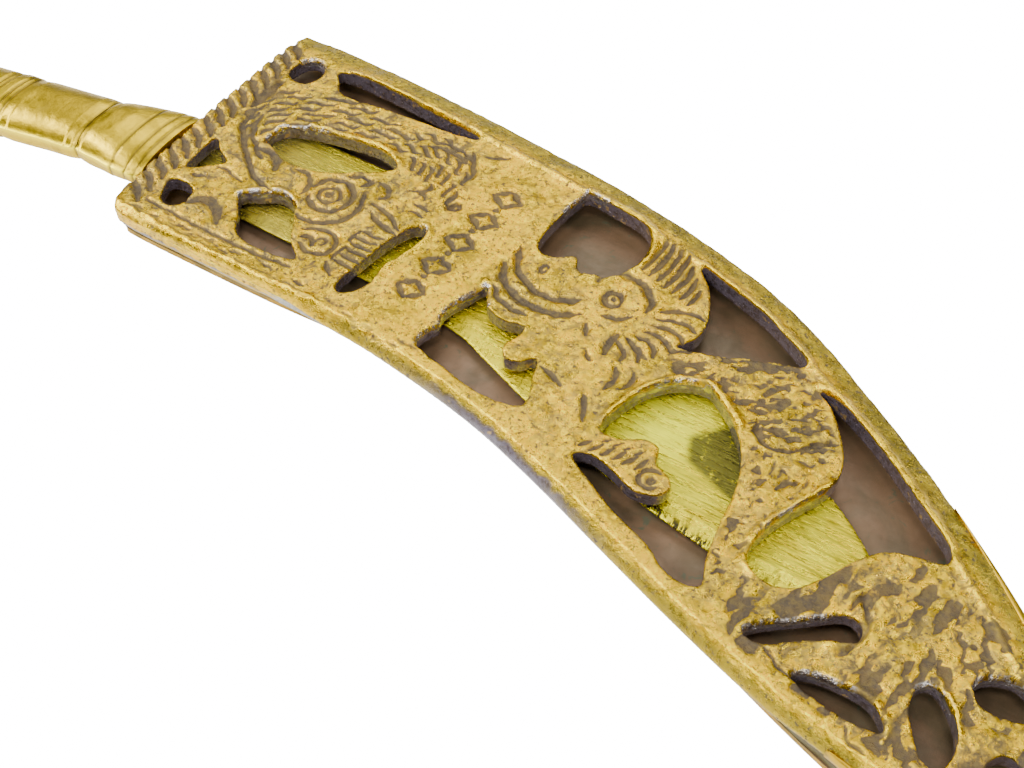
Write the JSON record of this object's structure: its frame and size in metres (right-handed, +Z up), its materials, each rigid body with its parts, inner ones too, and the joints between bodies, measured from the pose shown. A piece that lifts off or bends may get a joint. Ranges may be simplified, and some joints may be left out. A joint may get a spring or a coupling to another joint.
{
  "type": "sheathed letter opener",
  "caption": "Small curved brass knife, of letter-opener size, in a thin flat scabbard with a pierced and relief-cast front plate, with a plain drawn tang handle.",
  "frame": {"origin": "middle of the whole object's outline, on the surface that the scabbard's back lies on", "axes": "+X from the handle's butt towards the scabbard's tip, +Y towards the spine side of the blade, +Z up through the openwork front"},
  "size_m": [0.175, 0.055, 0.0048],
  "materials": {
    "cast_brass": "aged cast brass with dark patina in the relief",
    "tarnished_sheet": "tarnished thin brass sheet, brown with copper and green patches",
    "wall_brass": "pale worn sheet brass",
    "solder": "dull grey solder",
    "handle_brass": "smooth olive-gold cast brass",
    "brushed_brass": "bright filed brass"
  },
  "bodies": {
    "scabbard": {"front_plate": "cast_brass", "back_plate": "tarnished_sheet", "spine_strip": "wall_brass", "belly_strip_long": "wall_brass", "belly_strip_short": "wall_brass", "belly_solder": "solder", "tip_binding": "cast_brass"},
    "knife": {"blade": "brushed_brass", "bolster": "handle_brass", "grip": "handle_brass", "butt_cap": "handle_brass", "tang_keeper": "handle_brass"}
  },
  "joints": [
    {"name": "draw", "type": "slide", "parent": "scabbard", "child": "knife", "axis": [-0.9816, 0.1908, 0], "range_m": [0, 0.085]}
  ]
}
